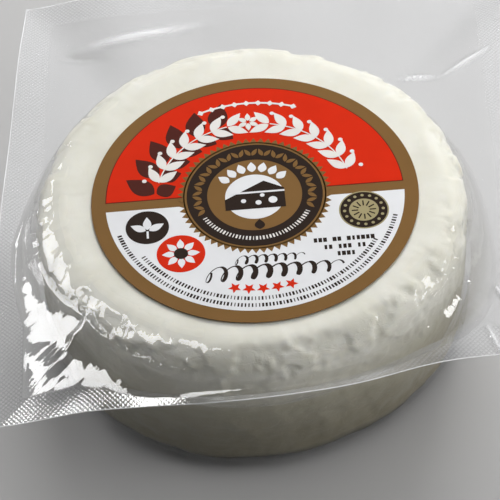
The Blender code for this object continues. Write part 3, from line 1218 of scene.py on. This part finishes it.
def print_plates(name, material, number, outlines=(), rings=()):
    """Lay one layer of ink as plates and rings."""
    mesh_data = bmesh.new()
    low, high = layer(number)
    for outline in outlines:
        plate(mesh_data, outline, low, high)
    for inner, outer, centre in rings:
        ring_plate(mesh_data, inner, outer, low, high, centre)
    bmesh.ops.recalc_face_normals(mesh_data, faces=mesh_data.faces)
    return lay_down(add_piece(name, mesh_data, material, "print", smooth=False))


def arc_tree():
    """Geometry Nodes that repeat a motif along an arc about the label's centre."""
    tree = bpy.data.node_groups.new("motif_on_arc", "GeometryNodeTree")
    face = tree.interface
    face.new_socket("Geometry", in_out="OUTPUT", socket_type="NodeSocketGeometry")
    face.new_socket("Geometry", in_out="INPUT", socket_type="NodeSocketGeometry")
    face.new_socket("Count", in_out="INPUT", socket_type="NodeSocketInt")
    for name in ("Radius", "First Angle", "Sweep", "Least Length"):
        face.new_socket(name, in_out="INPUT", socket_type="NodeSocketFloat")
    face.new_socket("Seed", in_out="INPUT", socket_type="NodeSocketInt")
    face.new_socket("Material", in_out="INPUT", socket_type="NodeSocketMaterial")
    nodes = Nodes(tree)
    given = nodes.add("NodeGroupInput").outputs
    index = nodes.add("GeometryNodeInputIndex").outputs[0]
    gaps = nodes.maths("MAXIMUM", nodes.maths("SUBTRACT", given["Count"], 1.0), 1.0)
    share = nodes.maths("DIVIDE", index, gaps)
    angle = nodes.maths("MULTIPLY_ADD", share, given["Sweep"], given["First Angle"])
    place = nodes.add(
        "ShaderNodeCombineXYZ",
        X=nodes.maths("MULTIPLY", nodes.maths("COSINE", angle), given["Radius"]),
        Y=nodes.maths("MULTIPLY", nodes.maths("SINE", angle), given["Radius"]),
    )
    points = nodes.add("GeometryNodePoints", Count=given["Count"], Position=place.outputs[0])
    upright = nodes.maths("SUBTRACT", angle, math.pi / 2)
    turned = nodes.add("ShaderNodeCombineXYZ", Z=upright)
    length = nodes.add(
        "FunctionNodeRandomValue", {"data_type": "FLOAT"},
        Min=given["Least Length"], Max=1.0, Seed=given["Seed"],
    ).outputs["Value"]
    size = nodes.add("ShaderNodeCombineXYZ", X=length, Y=1.0, Z=1.0)
    repeated = nodes.add(
        "GeometryNodeInstanceOnPoints", Points=points.outputs[0], Instance=given["Geometry"],
        Rotation=turned.outputs[0], Scale=size.outputs[0],
    )
    finish_tree(nodes, repeated.outputs[0], given["Material"])
    return tree


def print_arc(name, material, number, outlines, radius, first, last, count, least_length=1.0, seed=0):
    """Lay one motif again and again along an arc, from the first to the last angle."""
    mesh_data = bmesh.new()
    low, high = layer(number)
    for outline in outlines:
        plate(mesh_data, outline, low, high)
    bmesh.ops.recalc_face_normals(mesh_data, faces=mesh_data.faces)
    made = add_piece(name, mesh_data, material, "print", smooth=False)
    tree = bpy.data.node_groups.get("motif_on_arc") or arc_tree()
    run_nodes(
        made, tree, count=count, radius=radius, first_angle=math.radians(first),
        sweep=math.radians(last - first), least_length=least_length, seed=seed, material=material,
    )
    return lay_down(made)


BAND_TOP = 0.0014  # the tan band between the two fields
BAND_FOOT = -0.0036
RED_LINE = 0.0004  # the fine dark line round the red field
TOOTH_TIPS = 0.0331
TOOTH_ROOTS = 0.0306
RING_OUTER = 0.0291
RING_INNER = 0.0203
WHITE_DISC = 0.0127


class CHEESEPACK_OT_label_card(bpy.types.Operator):
    """Make the label's card with its fields and medallion"""

    bl_idname = "cheese_pack.label_card"
    bl_label = "Label Card"

    def execute(self, context):
        look = context.scene.cheese_pack.label
        tan = ink_material("tan_ink", look.tan)
        red = ink_material("red_ink", look.red)
        white = ink_material("white_ink", look.white)
        dark = ink_material("dark_ink", look.dark)
        dark_red = ink_material("dark_red_ink", (0.16, 0.012, 0.008, 1.0))

        mesh_data = bmesh.new()
        radius = (LABEL_HIGH.x - LABEL_LOW.x) / 2
        plate(mesh_data, circle(radius, steps=192), 0.0, CARD)
        bmesh.ops.recalc_face_normals(mesh_data, faces=mesh_data.faces)
        lay_down(add_piece("label_card", mesh_data, tan, "print", smooth=False))

        field = look.field_radius
        print_plates("label_red_line", dark_red, 0, [segment(field, BAND_TOP, True)])
        inner = segment(field - RED_LINE, BAND_TOP + RED_LINE, True)
        print_plates("label_red_field", red, 1, [inner])
        print_plates("label_white_field", white, 1, [segment(field, BAND_FOOT, False)])
        print_plates("label_medallion", tan, 2, [circle(TOOTH_ROOTS, steps=192)])
        pitch = 2 * math.pi / look.tooth_count
        half = TOOTH_ROOTS * math.sin(pitch / 2)
        tooth = [(-half, -0.0006), (half, -0.0006), (half, 0.0), (0.0, TOOTH_TIPS - TOOTH_ROOTS), (-half, 0.0)]
        print_arc(
            "label_teeth", tan, 2, [tooth], TOOTH_ROOTS, 0, 360 - 360 / look.tooth_count,
            look.tooth_count,
        )
        print_plates("label_dark_ring", dark, 3, rings=[(RING_INNER, RING_OUTER, (0.0, 0.0))])
        print_plates("label_white_disc", white, 3, [circle(WHITE_DISC, (0.0, -0.0012))])
        return {"FINISHED"}


# The wedge in the medallion, in shares of its half width and of its height
WEDGE = ((-1.0, -0.42), (0.95, -0.42), (0.95, 0.30), (0.30, 0.62), (-1.0, -0.02))
WEDGE_RIND = ((-0.93, 0.167), (0.95, 0.167), (0.95, 0.231), (-0.81, 0.231))
WEDGE_HOLES = ((0.55, -0.13, 0.0019), (0.08, -0.20, 0.0013), (-0.40, -0.11, 0.0011), (0.22, 0.07, 0.0010))
WEDGE_WIDTH = 0.0132
WEDGE_TALL = 0.0150
WEDGE_PLACE = (0.0003, -0.0018)

# Where the ornaments of the white field stand
DARK_BADGE = (-0.0465, -0.0140)
RED_BADGE = (-0.0330, -0.0300)
SEAL = (0.0455, -0.0135)
# Rows of short bars in place of words: middle, and the bars in each group
BAR_ROWS = (((0.0356, -0.0286), (3, 2, 6)), ((0.0356, -0.0327), (2, 3, 2)), ((0.0358, -0.0366), (4,)))
BAR_PITCH = 0.0020
BAR_HEIGHT = 0.0023


def box(width, height, centre=(0.0, 0.0)):
    """The corners of a rectangle."""
    x, y, across, up = *centre, width / 2, height / 2
    return [(x - across, y - up), (x + across, y - up), (x + across, y + up), (x - across, y + up)]


def on_wedge(points):
    """Points of the wedge's drawing on the label."""
    return [(WEDGE_PLACE[0] + x * WEDGE_WIDTH, WEDGE_PLACE[1] + y * WEDGE_TALL) for x, y in points]


def leaves(length, width, turns, root=0.0006, centre=(0.0, 0.0)):
    """Leaves that grow from one place in several directions, given in degrees."""
    grown = move(leaf(length, width), (0.0, root))
    return [move(grown, centre, math.radians(turn)) for turn in turns]


def pen_loops(start, end, level, height, count):
    """The path of slanting loops that shrink from left to right, like quick handwriting."""
    def path(share):
        size = height * (1.3 - 0.4 * share)
        angle = 2 * math.pi * (count * share + 0.2)
        up = size * math.cos(angle)
        return (start + (end - start) * share + 0.55 * size * math.sin(angle) + 0.35 * up, level + up)
    return path


class CHEESEPACK_OT_label_print(bpy.types.Operator):
    """Make the label's ornaments, all of them generic"""

    bl_idname = "cheese_pack.label_print"
    bl_label = "Label Print"

    def execute(self, context):
        look = context.scene.cheese_pack.label
        inks = bpy.data.materials
        tan, red, white, dark = (inks[n] for n in ("tan_ink", "red_ink", "white_ink", "dark_ink"))
        pale = ink_material("pale_ink", (0.90, 0.87, 0.83, 1.0))
        gold = ink_material("gold_ink", look.gold)
        brown = ink_material("brown_ink", (0.085, 0.018, 0.012, 1.0))
        self.garland(pale, brown)
        self.medallion(tan, white, dark, pale)
        self.badges(red, white, dark, gold)
        self.writing(red, dark)
        return {"FINISHED"}

    def garland(self, pale, brown):
        """Two leafy branches that climb to the top of the red field, with large brown
        leaves behind the left one."""
        for side, ahead, first, last in (("left", -90, 165, 103), ("right", 90, 15, 77)):
            pair = leaves(0.0096, 0.0043, (ahead + 38, ahead - 38))
            print_arc(f"label_branch_{side}", pale, 3, pair, 0.0420, first, last, 7)
            berry = [circle(0.0010, steps=20)]
            print_arc(f"label_berries_{side}", pale, 4, berry, 0.0484, first, last, 7)
            stem = arc_band(0.04175, 0.04230, *sorted((first, last)))
            print_plates(f"label_stem_{side}", pale, 4, [stem])
        shade = leaves(0.0150, 0.0088, (-32,)) + leaves(0.0092, 0.0078, (-150,))
        print_arc("label_shade", brown, 2, shade, 0.0425, 174, 110, 6)
        bloom = leaves(0.0044, 0.0024, range(0, 360, 60), 0.0008)
        print_arc("label_bloom", pale, 5, bloom, 0.0430, 90, 90, 1)
        lozenge = [(0.0, -0.0016), (0.0016, 0.0), (0.0, 0.0016), (-0.0016, 0.0)]
        print_arc("label_lozenges", pale, 3, [lozenge], 0.0545, 112, 68, 9)
        print_arc("label_lozenge_bars", pale, 4, [box(0.0030, 0.0010)], 0.0545, 109.25, 70.75, 8)

    def medallion(self, tan, white, dark, pale):
        """Leaves and bars round the dark ring, and a wedge of cheese in the middle."""
        pair = leaves(0.0046, 0.0019, (-32, 32), 0.0006)
        print_arc("label_ring_leaves", tan, 4, pair, 0.0222, 196, -16, 17)
        print_arc("label_ring_bars", pale, 4, [box(0.0009, 0.0020)], 0.0247, 208, 332, 38, 0.4, 2)
        crest = [move(leaf(0.0058, 0.0038), (0.0, -0.0029))]
        print_arc("label_crest", white, 3, crest, 0.0160, 142, 40, 7)
        drop = move(leaf(0.0056, 0.0044), (0.0010, -0.0198))
        print_plates("label_drop", dark, 3, [drop])
        print_plates("label_wedge", dark, 4, [on_wedge(WEDGE)])
        holes = [circle(radius, *on_wedge([(x, y)]), 28) for x, y, radius in WEDGE_HOLES]
        print_plates("label_wedge_marks", white, 5, [on_wedge(WEDGE_RIND), *holes])

    def badges(self, red, white, dark, gold):
        """A dark badge with a sprig, a red one with a flower and a golden seal."""
        print_plates("label_dark_badge", dark, 2, [circle(0.0092, DARK_BADGE, 64)])
        sprig = leaves(0.0072, 0.0036, (0, 62, -62), 0.0008, (DARK_BADGE[0], DARK_BADGE[1] - 0.0022))
        stalk = box(0.0009, 0.0040, (DARK_BADGE[0], DARK_BADGE[1] - 0.0042))
        print_plates("label_sprig", white, 3, [*sprig, stalk])
        print_plates("label_red_badge", red, 2, [circle(0.0102, RED_BADGE, 64)])
        petals = leaves(0.0056, 0.0031, range(0, 360, 45), 0.0024, RED_BADGE)
        print_plates("label_flower", white, 3, petals)
        print_plates("label_flower_heart", dark, 4, [circle(0.0030, RED_BADGE, 32)])

        print_plates("label_seal", gold, 2, [circle(0.0106, SEAL, 72)])
        print_plates("label_seal_ring", dark, 3, rings=[(0.0063, 0.0100, SEAL)])
        ray = box(0.0006, 0.0028, (0.0, 0.0038))
        rays = [move(ray, SEAL, math.pi * k / 6) for k in range(12)]
        print_plates("label_seal_rays", dark, 3, rays)
        beads = [move(circle(0.0007, (0.0, 0.0082), 16), SEAL, math.pi * k / 8) for k in range(16)]
        print_plates("label_seal_beads", gold, 4, beads)

    def writing(self, red, dark):
        """Pen loops, stars and rows of bars in place of words."""
        mesh_data = bmesh.new()
        low, high = layer(2)
        pen_stroke(mesh_data, pen_loops(-0.0110, 0.0175, -0.0362, 0.0018, 7), 0.0014, low, high)
        pen_stroke(mesh_data, pen_loops(-0.0235, 0.0325, -0.0430, 0.0031, 9), 0.0024, low, high)
        lay_down(add_piece("label_flourish", mesh_data, dark, "print", smooth=False))
        print_arc("label_stars", red, 2, [star(0.0029)], 0.0522, 257, 283, 5)
        bar = [box(0.0010, 0.0019)]
        print_arc("label_small_print_0", dark, 2, bar, 0.0610, 197, 343, 108, 0.35, 0)
        print_arc("label_small_print_1", dark, 2, bar, 0.0574, 212, 328, 82, 0.35, 1)
        widths = random.Random(5)
        bars = []
        for (x, y), groups in BAR_ROWS:
            x -= BAR_PITCH * (sum(groups) + len(groups) - 2) / 2
            for group in groups:
                for _ in range(group):
                    bars.append(box(BAR_PITCH * widths.uniform(0.50, 0.85), BAR_HEIGHT, (x, y)))
                    x += BAR_PITCH
                x += BAR_PITCH
        print_plates("label_bar_rows", dark, 2, bars)


# The stage


class CHEESEPACK_OT_stage(bpy.types.Operator):
    """Make the floor, the lights and the camera"""

    bl_idname = "cheese_pack.stage"
    bl_label = "Stage"

    def execute(self, context):
        stage = context.scene.cheese_pack.stage
        self.floor(stage.floor)
        key = self.soft_light("key_light", (0.10, 0.80, 0.62), (0.0, 0.05, 0.0), 0.60, 0.40, stage.key_power)
        key.visible_glossy = False
        side = self.soft_light("side_light", (0.95, -0.22, 0.30), (0.0, 0.0, 0.04), 0.5, 0.4, stage.side_power)
        side.visible_glossy = False
        over = self.soft_light("over_light", (0.35, -0.15, 1.05), (0.0, 0.0, 0.0), 0.7, 0.7, stage.over_power)
        over.visible_glossy = False
        front = self.soft_light("front_light", (0.50, -0.80, 0.25), (0.0, 0.0, 0.04), 0.5, 0.3, stage.front_power)
        front.visible_glossy = False
        for name, place, width, depth in WINDOWS:
            power = stage.window * math.pi * width * depth
            window = self.soft_light(name, place, (-0.07, -0.05, 0.06), width, depth, power)
            window.visible_diffuse = False
        context.scene.world = self.room(stage.surround, stage.glow)
        context.scene.view_settings.view_transform = "Standard"
        self.camera(context.scene)
        return {"FINISHED"}

    def room(self, surround, glow):
        """A dim room with a wide soft glow behind the pack."""
        world = bpy.data.worlds.new("room")
        world.use_nodes = True
        nodes = Nodes(world.node_tree)
        way = nodes.add("ShaderNodeTexCoord").outputs["Generated"]
        level = math.cos(GLOW_ELEVATION)
        middle = (
            level * math.sin(GLOW_SIDE), level * math.cos(GLOW_SIDE), math.sin(GLOW_ELEVATION)
        )
        facing = nodes.add("ShaderNodeVectorMath", {"operation": "DOT_PRODUCT"})
        nodes.feed(facing, "0", way)
        nodes.feed(facing, "1", middle)
        share = nodes.add(
            "ShaderNodeMapRange", {"interpolation_type": "SMOOTHSTEP"},
            Value=facing.outputs["Value"], From_Min=math.cos(GLOW_SPREAD), From_Max=1.0,
            To_Min=surround, To_Max=glow,
        )
        backdrop = world.node_tree.nodes["Background"]
        backdrop.inputs["Color"].default_value = (0.97, 0.98, 1.0, 1.0)
        nodes.feed(backdrop, "Strength", share.outputs[0])
        return world

    def floor(self, colour):
        """A wide plain floor."""
        mesh_data = bmesh.new()
        bmesh.ops.create_grid(mesh_data, x_segments=8, y_segments=8, size=3.0)
        mesh = bpy.data.meshes.new("floor")
        mesh_data.to_mesh(mesh)
        mesh_data.free()
        mesh.materials.append(floor_material(colour))
        made = bpy.data.objects.new("floor", mesh)
        bpy.context.collection.objects.link(made)

    def soft_light(self, name, place, aim, width, depth, power):
        """A rectangular soft light that points at a place."""
        lamp = bpy.data.lights.new(name, "AREA")
        lamp.shape = "RECTANGLE"
        lamp.size = width
        lamp.size_y = depth
        lamp.energy = power
        made = bpy.data.objects.new(name, lamp)
        made.location = place
        made.rotation_euler = (Vector(aim) - Vector(place)).to_track_quat("-Z", "Y").to_euler()
        bpy.context.collection.objects.link(made)
        return made

    def camera(self, scene):
        """The camera, a little rolled."""
        lens = bpy.data.cameras.new("camera")
        lens.lens = CAMERA_LENS
        made = bpy.data.objects.new("camera", lens)
        look = (CAMERA_AIM - CAMERA_PLACE).to_track_quat("-Z", "Y")
        made.location = CAMERA_PLACE
        made.rotation_euler = (look @ Quaternion((0, 0, 1), CAMERA_ROLL)).to_euler()
        bpy.context.collection.objects.link(made)
        scene.camera = made


class CHEESEPACK_PT_panel(bpy.types.Panel):
    """The steps that build the pack, with what can be changed"""

    bl_idname = "CHEESEPACK_PT_panel"
    bl_label = "Cheese Pack"
    bl_space_type = "VIEW_3D"
    bl_region_type = "UI"
    bl_category = "Cheese Pack"

    def draw(self, context):
        pack = context.scene.cheese_pack
        for group in (pack.wheel, pack.film, pack.label, pack.stage):
            column = self.layout.column(align=True)
            for name in group.bl_rna.properties.keys():
                if name not in ("rna_type", "name"):
                    column.prop(group, name)
        for step in STEPS:
            self.layout.operator(step.bl_idname)


GROUPS = (WheelProperties, FilmProperties, LabelProperties, StageProperties, CheesePackProperties)
STEPS = (
    CHEESEPACK_OT_wheel,
    CHEESEPACK_OT_bag,
    CHEESEPACK_OT_label_card,
    CHEESEPACK_OT_label_print,
    CHEESEPACK_OT_stage,
)


def register():
    """Make the groups, the operators and the panel known to Blender."""
    for made in (*GROUPS, *STEPS, CHEESEPACK_PT_panel):
        bpy.utils.register_class(made)
    bpy.types.Scene.cheese_pack = bpy.props.PointerProperty(type=CheesePackProperties)


def unregister():
    """Undo what register did."""
    del bpy.types.Scene.cheese_pack
    for made in reversed((*GROUPS, *STEPS, CHEESEPACK_PT_panel)):
        bpy.utils.unregister_class(made)


def main():
    """Build the pack step by step."""
    register()
    bpy.ops.cheese_pack.wheel()
    bpy.ops.cheese_pack.bag()
    bpy.ops.cheese_pack.label_card()
    bpy.ops.cheese_pack.label_print()
    bpy.ops.cheese_pack.stage()


if __name__ == "__main__":
    main()
